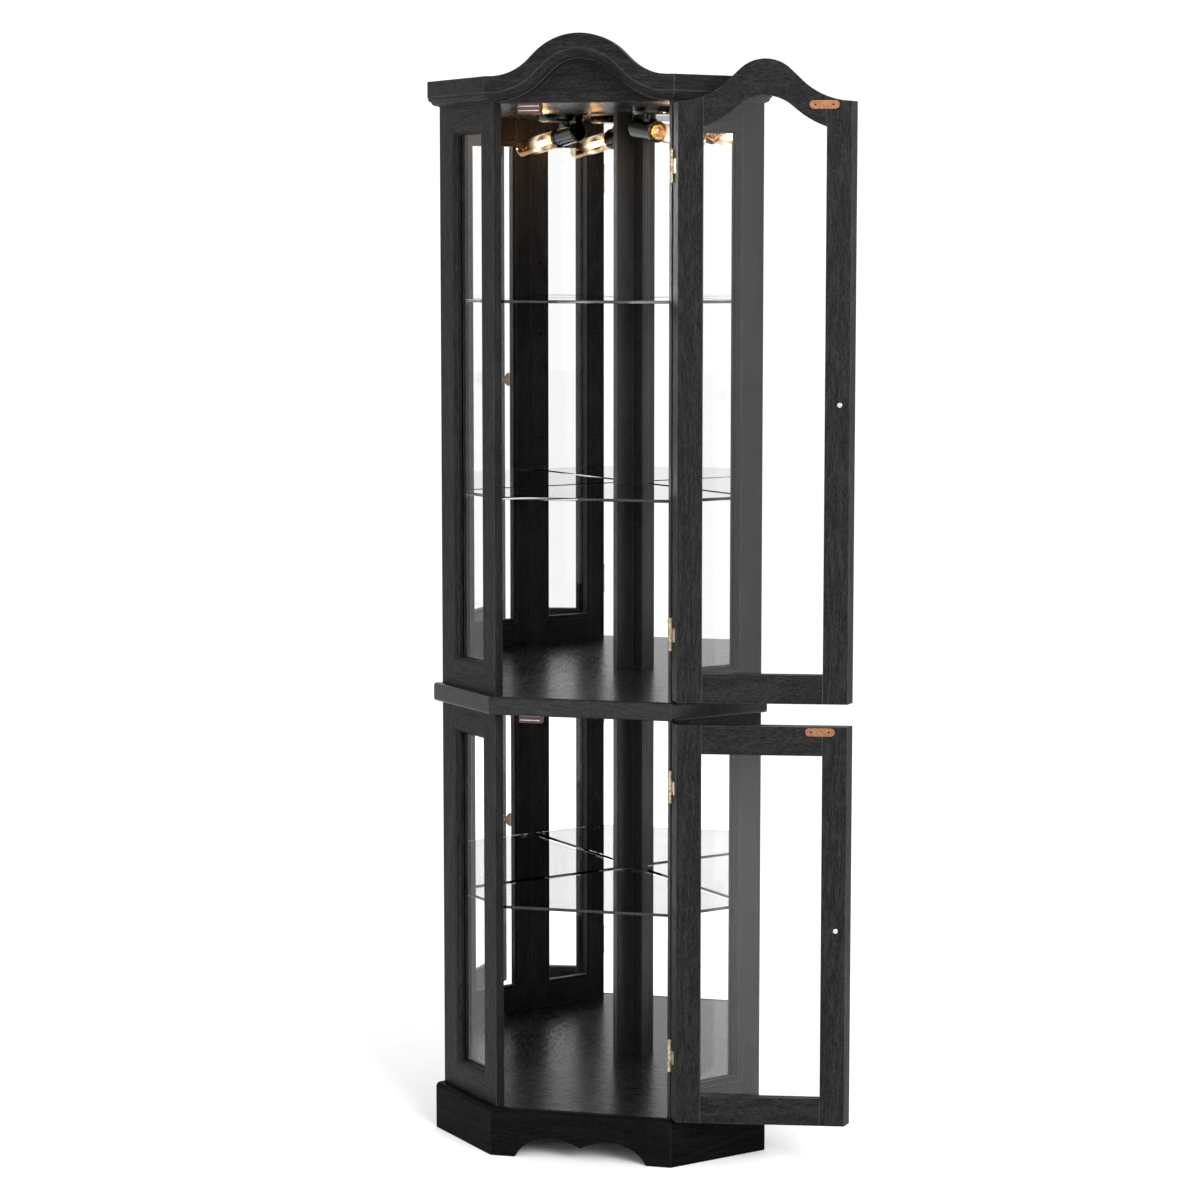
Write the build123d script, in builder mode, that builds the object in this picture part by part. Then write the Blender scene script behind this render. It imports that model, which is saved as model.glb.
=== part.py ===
from build123d import *

import os
from math import cos, radians, sin, sqrt, tan

# Corner curio cabinet, in millimetres. The origin is on the floor at the rear corner, where the two
# room walls meet. +Z is up, the doors face -Y, and +X is to the right of somebody facing them.
# A place beside a wall is given as (along, out): along the wall from the corner, and out from it.

# --- driving dimensions: plan ---
carcass_wall = 379.0  # length of the carcass along each room wall
carcass_depth = 176.4  # how far its glazed sides come out from the wall
plinth_proud = 16.0  # the plinth and the middle panel stand out from the carcass by this
cornice_proud = 22.0  # and the cornice by this
corner_turn = 22.5  # half of the turn from the front to a side, in degrees

# --- driving dimensions: levels ---
plinth_top = 77.0
middle_low = 723.0
middle_high = 753.0
ceiling = 1695.0
board = 16.0  # floor, ceiling and plinth boards
moulding_height = 15.0
cornice_ends = 1735.0  # top of the cornice at its sides
cornice_peak = 1800.0  # top of its arch

# --- side frames ---
frame_thick = 20.0
rear_stile = 41.0
side_opening_front = 138.0  # the opening runs out from the wall to here
side_rail = 40.0
outer_bead = 7.0
inner_bead = 8.0
glass_thick = 3.0
glass_inset = 12.0  # from a side frame's outer face to its glass
edge_gap = 1.1  # from a mitred edge to the plane halfway between door and frame
softened = 0.8
bead_bevel = 5.0
bead_joint = 0.25  # the open line where two beads meet

# --- back ---
post_width = 49.5
post_thick = 18.0
groove_low = 6.0  # the backing board and mirror share a groove, this far from the wall
backing_thick = 3.0
mirror_thick = 3.0
groove_depth = 4.5

# --- doors ---
door_thick = 20.0
door_half_opening = 95.0
door_glass_inset = 9.0
door_groove = 6.0
door_bevel = 6.0
upper_door = {"low": 756.0, "opening_low": 802.0, "opening_high": 1645.0, "high": 1692.0}
lower_door = {"low": 79.0, "opening_low": 123.0, "opening_high": 674.0, "high": 720.0}
rest_angle = 188.2  # both doors are stored standing this far open

# --- hinges ---
hinge_levels = {"upper": (861.0, 1594.0), "lower": (181.0, 617.0)}
hinge_height = 30.0
end_knuckle = 4.0  # height of the cabinet's two knuckles; the door's fills the rest
hinge_reach = 4.95  # the pin stands this far outside the front corner
knuckle_radius = 4.1
pin_radius = 1.8
pin_clearance = 0.05
pin_cap = (4.5, 11.5)  # radius and height of the cap at each end of a pin
leaf_thick = 1.0
leaf_width = 15.0
leaf_screw_pitch = 18.0
leaf_screw_radius = 2.1

# --- door furniture ---
knob_out = 25.3  # from the free edge
knob_levels = {"upper": 1225.0, "lower": 395.0}
catch_x = -91.3
catch_size = (37.0, 17.0, 17.0)
strike_size = (46.0, 13.0, 1.2)
strike_levels = {"upper": 1686.5, "lower": 712.0}
strike_screw_out = 14.0  # from the plate's middle
strike_screw_radius = 1.6

# --- shelves ---
shelf_thick = 5.0
shelf_off_wall = 20.0
shelf_off_side = 2.0
shelf_front = -366.0
shelf_rows = {"top_shelf": 1378.0, "middle_shelf": 1064.0, "bottom_shelf": 397.0}
hole_pitch = 64.0
hole_radius = 2.5
hole_depth = 10.0
pin_rear_out = 32.0  # pin columns, out from the wall, on each side frame
pin_front_out = 150.0
pin_post_along = 34.0
pin_flat = 2.0  # a pin's flat stands this far above its centre

# --- lamp ---
canopy_place = (165.0, 66.0)  # beside the right-hand wall
canopy_radius = 40.0
canopy_depth = 12.0
socket_mouth = (168.0, 66.0, 1656.0)  # beside the right-hand wall, and its level
lamp_droop = 7.4  # the lamp points down by this many degrees
socket_length = 66.0
socket_radius = 16.5
bulb_radius = 15.5
bulb_length = 128.0  # its glass

# --- worked out ---
diagonal = sqrt(0.5)
turn = radians(corner_turn)
half_front = diagonal * (carcass_wall - carcass_depth)
front_y = -diagonal * (carcass_wall + carcass_depth)
inner_along = carcass_wall - frame_thick
door_inner_y = front_y + door_thick
hinge_x = half_front + hinge_reach * sin(turn)
hinge_y = front_y - hinge_reach * cos(turn)
hinge_axis = Axis((hinge_x, hinge_y, 0), (0, 0, 1))
arch_rise = cornice_peak - cornice_ends

os.makedirs("parts", exist_ok=True)


def save(piece, label):
    """Name a finished piece and write it."""
    piece.part.label = label
    export_step(piece.part, f"parts/{label}.step")


def save_pair(piece, label):
    """Write a left-hand piece, and its mirror image for the right-hand side."""
    save(piece, label.format("left"))
    with BuildPart() as other:
        mirror(piece.part, about=Plane.YZ)
    save(other, label.format("right"))


def with_mirror(piece):
    """Join a left-hand piece and its mirror image as separate solids of one group."""
    with BuildPart() as both:
        add(piece.part)
        mirror(piece.part, about=Plane.YZ)
    return both


# ---------------------------------------------------------------- places and outlines


def beside_left(along, out):
    """Plan point given from the left-hand wall."""
    return (diagonal * (out - along), -diagonal * (out + along))


def outline(proud):
    """Plan corners, from the rear corner round by the left, standing proud of the carcass."""
    depth = carcass_depth + proud * tan(turn)
    left = beside_left(carcass_wall + proud, 0)
    front_left = beside_left(carcass_wall + proud, depth)
    front_right = (-front_left[0], front_left[1])
    return [(0, 0), left, front_left, front_right, (-left[0], left[1])]


def side_plane(along):
    """Upright plane parallel to the left-hand glazed side: x runs out from the wall, y runs up."""
    return Plane(
        origin=(*beside_left(along, 0), 0),
        x_dir=(diagonal, -diagonal, 0),
        z_dir=(-diagonal, -diagonal, 0),
    )


def wall_plane(out):
    """Upright plane parallel to the left-hand wall: x runs along it from the corner, y runs up."""
    return Plane(
        origin=(*beside_left(0, out), 0),
        x_dir=(-diagonal, -diagonal, 0),
        z_dir=(-diagonal, diagonal, 0),
    )


def front_plane(y):
    """Upright plane facing the front: x runs to the right, y runs up."""
    return Plane.XZ.offset(-y)


def mitre_plane(gap):
    """Plane that halves the front left-hand corner, moved by gap towards the side frame."""
    normal = (-cos(turn), sin(turn), 0)
    return Plane(origin=(-half_front + gap * normal[0], front_y + gap * normal[1], 0), z_dir=normal)


class Arch:
    """A bell-shaped arch: a round crown, two straight shoulders and two hollow feet."""

    def __init__(self, ends, rise, crown, foot, slope):
        self.ends, self.rise, self.crown, self.foot = ends, rise, crown, foot
        self.slope = slope
        lean = radians(slope)
        straight = (rise - (crown + foot) * (1 - cos(lean))) / sin(lean)
        self.foot_x = (crown + foot) * sin(lean) + straight * cos(lean)

    def curve(self, shift, reach):
        """The arch's line from left to right, moved outwards by shift and run on to reach."""
        level = self.ends + shift
        foot_centre = self.ends + self.foot
        foot_radius = self.foot - shift
        crown_radius = self.crown + shift
        crown_centre = self.ends + self.rise - self.crown
        Line((-reach, level), (-self.foot_x, level))
        left_foot = CenterArc((-self.foot_x, foot_centre), foot_radius, 270, self.slope)
        crown = CenterArc((0, crown_centre), crown_radius, 90 + self.slope, -2 * self.slope)
        right_foot = CenterArc((self.foot_x, foot_centre), foot_radius, 270 - self.slope, self.slope)
        Line(left_foot @ 1, crown @ 0)
        Line(crown @ 1, right_foot @ 0)
        Line((self.foot_x, level), (reach, level))

    def area(self, shift, low, reach=170.0):
        """Everything under the arch, down to the level low."""
        with BuildLine() as line:
            self.curve(shift, reach)
            Polyline((reach, self.ends + shift), (reach, low), (-reach, low), (-reach, self.ends + shift))
        make_face(line.edges())


door_arch = Arch(upper_door["high"], 65.0, crown=57.0, foot=114.0, slope=44.0)
opening_arch = Arch(upper_door["opening_high"], 56.0, crown=63.0, foot=146.0, slope=39.6)
moulding_arch = Arch(ceiling, 67.0, crown=68.0, foot=112.0, slope=44.0)
cornice_arch = Arch(cornice_ends, arch_rise, crown=101.0, foot=87.0, slope=45.0)

# ---------------------------------------------------------------- plinth

plinth_round = 8.0
cut_foot = 109.5
cut_crown = (52.0, 34.0)
cut_cusp = 20.8

carcass = outline(0)
plinth = outline(plinth_proud)

with BuildPart() as plinth_front:
    with BuildSketch():
        Polygon(carcass[2], plinth[2], plinth[3], carcass[3], align=None)
    extrude(amount=plinth_top)
    top_edges = plinth_front.edges().filter_by(Axis.X).group_by(Axis.Z)[-1]
    fillet(top_edges.sort_by(Axis.Y)[0], radius=plinth_round)
    with BuildSketch(front_plane(plinth[2][1])):
        with BuildLine():
            for side in (-1, 1):
                crown = (side * cut_crown[0], cut_crown[1])
                TangentArc(crown, (side * cut_foot, 0), tangent=(side, 0))
                TangentArc(crown, (0, cut_cusp), tangent=(-side, 0))
            Line((-cut_foot, 0), (cut_foot, 0))
        make_face()
    extrude(amount=-2 * plinth_proud, mode=Mode.SUBTRACT)
save(plinth_front, "plinth_front")

with BuildPart() as plinth_left:
    with BuildSketch():
        Polygon(carcass[1], carcass[2], plinth[2], plinth[1], align=None)
    extrude(amount=plinth_top)
    outward = Axis((0, 0, 0), (-diagonal, -diagonal, 0))
    fillet(plinth_left.edges().group_by(Axis.Z)[-1].sort_by(outward)[-1], radius=plinth_round)
save_pair(plinth_left, "plinth_{}")

with BuildPart() as plinth_back_rails:
    with BuildSketch(wall_plane(board)):
        Rectangle(carcass_wall, plinth_top - board, align=(Align.MIN, Align.MIN))
    extrude(amount=board)
    with BuildSketch(wall_plane(board)):
        Rectangle(carcass_wall - board - 0.2, plinth_top - board, align=(Align.MIN, Align.MIN))
    shorter_rail = extrude(amount=board, mode=Mode.PRIVATE)
    add(shorter_rail.moved(Location((*beside_left(board + 0.2, 0), 0))).mirror(Plane.YZ))
save(plinth_back_rails, "plinth_back_rails")

block = 30.0
block_low = 6.0


def block_outline(along, out):
    """Plan of a square block beside the left-hand wall, from its corner nearest the rear corner."""
    far = along + block
    corners = [(along, out), (far, out), (far, out + block), (along, out + block)]
    return Polygon(*[beside_left(*corner) for corner in corners], align=None)


with BuildPart() as plinth_blocks:
    with BuildSketch(Plane.XY.offset(block_low)):
        block_outline(board, board)
        mirror(block_outline(carcass_wall - block, board), about=Plane.YZ)
        x, y = carcass[2]
        slant = diagonal * block
        behind = [(x, y), (x + block, y), (x + block, y + block), (x, y + 1.6 * block), (x - slant, y + slant)]
        mirror(Polygon(*behind, align=None), about=Plane.YZ)
    extrude(amount=plinth_top - board - block_low)
save(plinth_blocks, "plinth_blocks")

# ---------------------------------------------------------------- horizontal panels

panel_round = 5.0

with BuildPart() as floor_panel:
    with BuildSketch(Plane.XY.offset(plinth_top - board)):
        Polygon(*carcass, align=None)
    extrude(amount=board)
save(floor_panel, "floor_panel")

with BuildPart() as middle_panel:
    with BuildSketch(Plane.XY.offset(middle_low)):
        Polygon(*plinth, align=None)
    extrude(amount=middle_high - middle_low)
    rims = middle_panel.edges().filter_by(Axis.Z, reverse=True)
    fillet(rims.filter_by(lambda e: abs(e.center().X) < -e.center().Y - 1), radius=panel_round)
save(middle_panel, "middle_panel")

header_front = front_y + door_thick + 2.0
header_back = header_front + post_thick
grommet_place = (0.0, -78.0)
grommet_radius = 10.0
grommet_bore = 6.0
grommet_lip = (13.5, 2.0)  # radius and thickness

with BuildPart() as top_panel:
    with BuildSketch(Plane.XY.offset(ceiling)):
        Polygon(*carcass, align=None)
        with Locations((0, header_back)):
            Rectangle(2 * carcass_wall, carcass_wall, align=(Align.CENTER, Align.MAX), mode=Mode.SUBTRACT)
        with Locations(grommet_place):
            Circle(grommet_radius, mode=Mode.SUBTRACT)
    extrude(amount=board)
save(top_panel, "top_panel")

with BuildPart() as cable_grommet:
    with BuildSketch(Plane.XZ.offset(-grommet_place[1])):
        with BuildLine():
            lip, lip_thick = grommet_lip
            low, high = ceiling - lip_thick, ceiling + board + lip_thick
            Polyline(
                (grommet_bore, low), (lip - 1, low), (lip, ceiling), (grommet_radius, ceiling),
                (grommet_radius, ceiling + board), (lip, ceiling + board), (lip - 1, high), (grommet_bore, high),
                close=True,
            )
        make_face()
    revolve(axis=Axis((grommet_place[0], grommet_place[1], 0), (0, 0, 1)))
save(cable_grommet, "cable_grommet")

# ---------------------------------------------------------------- glazed sides

levels = {"lower": (plinth_top, middle_low), "upper": (middle_high, ceiling)}


def pin_rows(low, high):
    """Levels of the shelf-pin holes between two panels, three to each shelf that is there."""
    rows = [row for row in shelf_rows.values() if low < row < high]
    return [row + step * hole_pitch for row in rows for step in (-1, 0, 1)]


def side_stiles(low, high):
    """The two uprights of the left-hand frame, drilled for shelf pins; the front one is mitred."""
    middle = (low + high) / 2
    with BuildPart() as stiles:
        with BuildSketch(side_plane(carcass_wall)):
            with Locations((0, middle)):
                Rectangle(rear_stile, high - low, align=(Align.MIN, Align.CENTER))
            with Locations((side_opening_front, middle)):
                Rectangle(post_width, high - low, align=(Align.MIN, Align.CENTER))
        extrude(amount=-frame_thick)
        split(bisect_by=mitre_plane(edge_gap), keep=Keep.TOP)
        chamfer(stiles.edges().filter_by(Axis.Z), length=softened)
        with BuildSketch(side_plane(inner_along)):
            spots = [(out, row) for out in (pin_rear_out, pin_front_out) for row in pin_rows(low, high)]
            with Locations(*spots):
                Circle(hole_radius)
        extrude(amount=hole_depth, mode=Mode.SUBTRACT)
        with BuildSketch(wall_plane(groove_low)):
            with Locations((inner_along, low)):
                Rectangle(groove_depth, high - low, align=(Align.MIN, Align.MIN))
        extrude(amount=-(backing_thick + mirror_thick), mode=Mode.SUBTRACT)
    return stiles


def side_rails(low, high):
    """Bottom and top rails of the left-hand frame."""
    with BuildPart() as rails:
        with BuildSketch(side_plane(carcass_wall)):
            for level, align in ((low, Align.MIN), (high, Align.MAX)):
                with Locations((rear_stile, level)):
                    Rectangle(side_opening_front - rear_stile, side_rail, align=(Align.MIN, align))
        extrude(amount=-frame_thick)
        long_edges = rails.edges().filter_by(Axis((0, 0, 0), (diagonal, -diagonal, 0)))
        chamfer(long_edges, length=softened / 2)
    return rails


def bead_loop(plane, low, high, width, depth, bevel):
    """Four mitred glazing beads round a side opening, bevelled towards the glass."""
    opening = (side_opening_front - rear_stile, high - low - 2 * side_rail)
    centre = ((side_opening_front + rear_stile) / 2, (low + high) / 2)
    with BuildPart() as beads:
        with BuildSketch(plane):
            with Locations(centre):
                Rectangle(*opening)
                Rectangle(opening[0] - 2 * width, opening[1] - 2 * width, mode=Mode.SUBTRACT)
        extrude(amount=depth)
        if bevel:
            seen = beads.faces().filter_by(plane).sort_by(Axis(plane.origin, plane.z_dir))[-1]
            chamfer(seen.inner_wires().edges(), length=bevel)
        with BuildSketch(plane):
            for side in (-1, 1):
                for rise in (-1, 1):
                    corner = (centre[0] + side * opening[0] / 2, centre[1] + rise * opening[1] / 2)
                    with Locations(corner):
                        Rectangle(6 * width, bead_joint, rotation=45 * side * rise)
        extrude(amount=depth, mode=Mode.SUBTRACT)
    return beads


def side_glass(low, high):
    """The left-hand pane, 1 mm short of its opening all round."""
    with BuildPart() as pane:
        with BuildSketch(side_plane(carcass_wall - glass_inset)):
            with Locations(((side_opening_front + rear_stile) / 2, (low + high) / 2)):
                Rectangle(side_opening_front - rear_stile - 2, high - low - 2 * side_rail - 2)
        extrude(amount=-glass_thick)
    return pane


glass_inner = carcass_wall - glass_inset - glass_thick

for name, (low, high) in levels.items():
    save_pair(side_stiles(low, high), name + "_{}_stiles")
    save_pair(side_rails(low, high), name + "_{}_rails")
    save_pair(side_glass(low, high), name + "_{}_glass")
    outer_face = side_plane(carcass_wall - glass_inset)
    outer = bead_loop(outer_face, low, high, outer_bead, glass_inset - 1, bead_bevel)
    inner = bead_loop(side_plane(inner_along), low, high, inner_bead, glass_inner - inner_along, 0)
    with BuildPart() as one_side:
        add(outer.part)
        add(inner.part)
    save(with_mirror(one_side), name + "_side_beads")

# ---------------------------------------------------------------- corner post, mirrors and backing

glue_gap = 0.1
back_start = post_width - groove_depth + 0.5
back_span = inner_along - post_width + 2 * groove_depth - 1

for name, (low, high) in levels.items():
    height = high - low
    with BuildPart() as corner_post:
        for near, far in ((0, post_width), (post_thick + glue_gap, post_width)):
            board_is_right = near > 0
            with BuildSketch(Plane.XY.offset(low)):
                corners = [(near, 0), (far, 0), (far, post_thick), (near, post_thick)]
                points = [beside_left(*corner) for corner in corners]
                if board_is_right:
                    points = [(-x, y) for x, y in points]
                Polygon(*points, align=None)
            extrude(amount=height)
        with BuildSketch(Plane.XY.offset(low)):
            near, far = post_width - groove_depth, post_width + groove_depth
            groove_high = groove_low + backing_thick + mirror_thick
            groove = [(near, groove_low), (far, groove_low), (far, groove_high), (near, groove_high)]
            points = [beside_left(*corner) for corner in groove]
            Polygon(*points, align=None)
            Polygon(*[(-x, y) for x, y in points], align=None)
        extrude(amount=height, mode=Mode.SUBTRACT)
        left_face = wall_plane(post_thick)
        right_face = Plane(
            origin=(-left_face.origin.X, left_face.origin.Y, 0),
            x_dir=(diagonal, -diagonal, 0),
            z_dir=(-diagonal, -diagonal, 0),
        )
        with BuildSketch(right_face):
            with Locations(*[(pin_post_along, row) for row in pin_rows(low, high)]):
                Circle(hole_radius)
        extrude(amount=-hole_depth, mode=Mode.SUBTRACT)
    save(corner_post, name + "_corner_post")

    with BuildPart() as glass_mirror:
        with BuildSketch(wall_plane(groove_low + backing_thick)):
            with Locations((back_start, low)):
                Rectangle(back_span, height, align=(Align.MIN, Align.MIN))
        extrude(amount=-mirror_thick)
    save_pair(glass_mirror, name + "_{}_mirror")

with BuildPart() as back_boards:
    with BuildSketch(wall_plane(groove_low)):
        for low, high in levels.values():
            with Locations((back_start, low)):
                Rectangle(back_span, high - low, align=(Align.MIN, Align.MIN))
    extrude(amount=-backing_thick)
save(with_mirror(back_boards), "back_boards")

# ---------------------------------------------------------------- cornice

cornice = outline(cornice_proud)
cornice_front_y = cornice[2][1]


def mitre_ends(gap):
    """Cut the open builder's part to the front span, gap short of the two corner mitres."""
    left = mitre_plane(-gap)
    split(bisect_by=left, keep=Keep.BOTTOM)
    right = Plane(origin=(-left.origin.X, left.origin.Y, 0), z_dir=(-left.z_dir.X, left.z_dir.Y, 0))
    split(bisect_by=right, keep=Keep.BOTTOM)


def band(upper, lower, low_shift):
    """The area under one arch and above another, which is moved up by low_shift."""
    upper.area(0, ceiling)
    with BuildSketch(mode=Mode.PRIVATE) as below:
        lower.area(low_shift, ceiling - 10, reach=171.0)
    add(below.sketch, mode=Mode.SUBTRACT)


with BuildPart() as fascia_front:
    with BuildSketch(front_plane(cornice_front_y)):
        band(cornice_arch, moulding_arch, moulding_height)
    extrude(amount=-(front_y - cornice_front_y))
    mitre_ends(0)
save(fascia_front, "fascia_front")

with BuildPart() as fascia_left:
    with BuildSketch(Plane.XY.offset(ceiling + moulding_height)):
        Polygon(carcass[1], carcass[2], cornice[2], cornice[1], align=None)
    extrude(amount=cornice_ends - ceiling - moulding_height)
    top_face = fascia_left.faces().sort_by(Axis.Z)[-1]
    chamfer(top_face.edges().sort_by(Axis((0, 0, 0), (-diagonal, -diagonal, 0)))[-1], length=1)
save(with_mirror(fascia_left), "fascia_sides")


def moulding_profile():
    """Section of the moulding: x runs out from the carcass, y runs up from its lower edge."""
    top = moulding_height
    with BuildLine() as line:
        Polyline((20.5, top - 1.5), (cornice_proud, top - 1.5), (cornice_proud, top), (0, top), (0, 0), (3, 0))
        Polyline((3, 0), (3, 1.2), (8, 1.2))
        ThreePointArc((8, 1.2), (12.6, 3.4), (16, 7.5))
        Line((16, 7.5), (18, 7.5))
        ThreePointArc((18, 7.5), (20.4, 9.9), (20.5, top - 1.5))
    make_face(line.edges())


with BuildPart() as moulding_front:
    with BuildLine(front_plane(front_y)) as arch_path:
        moulding_arch.curve(0, 170.0)
    start = Plane(origin=(-170, front_y, ceiling), x_dir=(0, -1, 0), z_dir=(-1, 0, 0))
    with BuildSketch(start):
        moulding_profile()
    sweep(path=arch_path.wire())
    mitre_ends(0)
save(moulding_front, "moulding_front")

with BuildPart() as moulding_left:
    start = Plane(
        origin=(*carcass[1], ceiling), x_dir=(-diagonal, -diagonal, 0), z_dir=(-diagonal, diagonal, 0)
    )
    with BuildSketch(start):
        moulding_profile()
    extrude(amount=-(carcass_depth + cornice_proud))
    split(bisect_by=mitre_plane(0), keep=Keep.TOP)
save(with_mirror(moulding_left), "moulding_sides")

soffit = 9.0
header_drop = 18.0

with BuildPart() as door_header:
    with BuildSketch(front_plane(front_y)):
        moulding_arch.area(soffit, ceiling)
        with BuildSketch(mode=Mode.PRIVATE) as below:
            moulding_arch.area(0, ceiling - 10, reach=171.0)
        add(below.sketch, mode=Mode.SUBTRACT)
    extrude(amount=-(header_front - front_y))
    with BuildSketch(front_plane(header_front)):
        cornice_arch.area(-header_drop, ceiling, reach=200.0)
    extrude(amount=-post_thick)
    with BuildSketch(Plane.XY.offset(ceiling)):
        Polygon(*carcass, align=None)
    extrude(amount=2 * arch_rise, mode=Mode.INTERSECT)
save(door_header, "door_header")

# ---------------------------------------------------------------- shelves and their pins

with BuildPart() as shelf:
    with BuildSketch():
        shelf_end = inner_along - shelf_off_side
        rear = beside_left(shelf_off_wall, shelf_off_wall)
        left = beside_left(shelf_end, shelf_off_wall)
        front = beside_left(shelf_end, -shelf_front / diagonal - shelf_end)
        Polygon(rear, left, front, (-front[0], front[1]), (-left[0], left[1]), align=None)
    extrude(amount=shelf_thick)
    chamfer(shelf.edges().filter_by(Axis.Z, reverse=True), length=0.6)

for label, row in shelf_rows.items():
    with BuildPart() as placed_shelf:
        add(shelf.part.moved(Location((0, 0, row + pin_flat))))
    save(placed_shelf, label)


collar_radius = 4.5
collar_thick = 1.2
peg_radius = 3.0
peg_length = 10.0


def shelf_pin(face):
    """A brass pin in a hole of an upright face: shank, collar, and a peg with a flat on top."""
    with BuildPart() as pin:
        with BuildSketch(face):
            Circle(hole_radius)
        extrude(amount=-(hole_depth - 2))
        with BuildSketch(face):
            Circle(collar_radius)
        extrude(amount=collar_thick)
        with BuildSketch(face):
            Circle(peg_radius)
            with Locations((0, pin_flat)):
                Rectangle(4 * peg_radius, peg_radius, align=(Align.CENTER, Align.MIN), mode=Mode.SUBTRACT)
        extrude(amount=peg_length)
    return pin.part


def facing_plane(place, level, x_dir, z_dir):
    """Upright plane on an inner face, looking into the cabinet."""
    return Plane(origin=(*place, level), x_dir=(*x_dir, 0), z_dir=(*z_dir, 0))


with BuildPart() as shelf_pins:
    inwards = (diagonal, diagonal)
    for row in shelf_rows.values():
        for out in (pin_rear_out, pin_front_out):
            place = beside_left(inner_along, out)
            left_pin = shelf_pin(facing_plane(place, row, (-diagonal, diagonal), inwards))
            add(left_pin)
            mirror(left_pin, about=Plane.YZ)
        x, y = beside_left(pin_post_along, post_thick)
        add(shelf_pin(facing_plane((-x, y), row, (diagonal, -diagonal), (-diagonal, -diagonal))))
save(shelf_pins, "shelf_pins")

# ---------------------------------------------------------------- lamp

canopy_left = beside_left(*canopy_place)
canopy_centre = (-canopy_left[0], canopy_left[1])
mouth_left = beside_left(*socket_mouth[:2])
droop = radians(lamp_droop)
lamp_way = (diagonal * cos(droop), -diagonal * cos(droop), -sin(droop))


def lamp_plane(ahead):
    """Plane across the lamp's axis, ahead of the socket's mouth, facing the way that the bulb points."""
    mouth = Vector(-mouth_left[0], mouth_left[1], socket_mouth[2])
    return Plane(origin=mouth + ahead * Vector(*lamp_way), x_dir=(diagonal, diagonal, 0), z_dir=lamp_way)


stem_low = socket_mouth[2] + socket_radius + 5
stem_radius = 9.0
stem_left = beside_left(canopy_place[0] - 18, canopy_place[1])
stem_centre = (-stem_left[0], stem_left[1])

with BuildPart() as lamp_canopy:
    with BuildSketch(Plane.XY.offset(ceiling)):
        with Locations(canopy_centre):
            Circle(canopy_radius)
    extrude(amount=-canopy_depth)
    fillet(lamp_canopy.edges().sort_by(Axis.Z)[0], radius=canopy_depth / 2)
    with BuildSketch(Plane.XY.offset(ceiling - canopy_depth)):
        with Locations(stem_centre):
            Circle(stem_radius)
    extrude(amount=-(ceiling - canopy_depth - stem_low))
save(lamp_canopy, "lamp_canopy")

rim = (18.0, 8.0)  # radius and length of the socket's mouth ring
socket_wall = 1.8
bore_depth = 36.0
strap_size = (14.0, 60.0, 2.0)
strap_foot = 20.0
nut = (6.5, 5.0)  # radius and height

with BuildPart() as lamp_socket:
    with BuildSketch(lamp_plane(-socket_length)):
        Circle(socket_radius)
    extrude(amount=socket_length)
    with BuildSketch(lamp_plane(-rim[1])):
        Circle(rim[0])
    extrude(amount=rim[1])
    along_lamp = Axis(lamp_plane(0).origin, lamp_way)
    rear_edge = lamp_socket.edges().filter_by(GeomType.CIRCLE).sort_by(along_lamp)[0]
    fillet(rear_edge, radius=4)
    with BuildSketch(Plane.XY.offset(stem_low)):
        with Locations(stem_centre):
            Rectangle(stem_radius * 1.8, stem_radius * 1.8, rotation=45)
    extrude(amount=-(socket_radius / 2 + 5))
    with BuildSketch(lamp_plane(0)):
        Circle(socket_radius - socket_wall)
    extrude(amount=-bore_depth, mode=Mode.SUBTRACT)
    strap_width, strap_length, strap_thick = strap_size
    with BuildSketch(lamp_plane(-socket_length)):
        with Locations((0, -socket_radius / 2)):
            Rectangle(strap_width, strap_length, align=(Align.CENTER, Align.MIN))
    extrude(amount=-strap_thick)
    with BuildSketch(lamp_plane(-socket_length - strap_thick)):
        RegularPolygon(radius=nut[0], side_count=6)
    extrude(amount=-nut[1])
    split(bisect_by=Plane.XY.offset(ceiling), keep=Keep.BOTTOM)
    rear = lamp_plane(-socket_length)
    strap_top = rear.origin + (ceiling - rear.origin.Z) / rear.y_dir.Z * rear.y_dir
    with BuildSketch(Plane.XY.offset(ceiling)):
        with Locations(Location((strap_top.X, strap_top.Y, 0), (0, 0, -45))):
            Rectangle(strap_foot, strap_width, align=(Align.MAX, Align.CENTER))
    extrude(amount=-strap_thick)
save(lamp_socket, "lamp_socket")

cap_radius = 12.5
cap_length = 24.0
cap_ahead = 2.0
neck = 16.0
glass_wall = 0.8
dome = 13.0


def bulb_line(inset):
    """Half section of the tubular bulb: x is the radius and y runs along the lamp from its neck."""
    width = bulb_radius - inset
    length = bulb_length - inset
    start = cap_radius - inset
    Polyline((0, 0), (start, 0), (start, 2))
    Spline((start, 2), (width, neck), tangents=[(0, 1), (0, 1)])
    Line((width, neck), (width, length - dome))
    Spline((width, length - dome), (0, length), tangents=[(0, 1), (-1, 0)])
    Line((0, length), (0, 0))


neck_plane = lamp_plane(cap_ahead)
bulb_section = Plane(origin=neck_plane.origin, x_dir=neck_plane.y_dir, z_dir=(diagonal, diagonal, 0))

with BuildPart() as bulb_glass:
    with BuildSketch(bulb_section):
        with BuildLine():
            bulb_line(0)
        make_face()
        with BuildSketch(mode=Mode.PRIVATE) as hollow:
            with BuildLine():
                bulb_line(glass_wall)
            make_face()
        add(hollow.sketch, mode=Mode.SUBTRACT)
    revolve(axis=Axis(neck_plane.origin, lamp_way))
save(bulb_glass, "bulb_glass")

thread_pitch = 3.0
thread_turns = 6
thread_depth = 0.6
contact = (4.0, 2.0)  # radius and height

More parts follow.
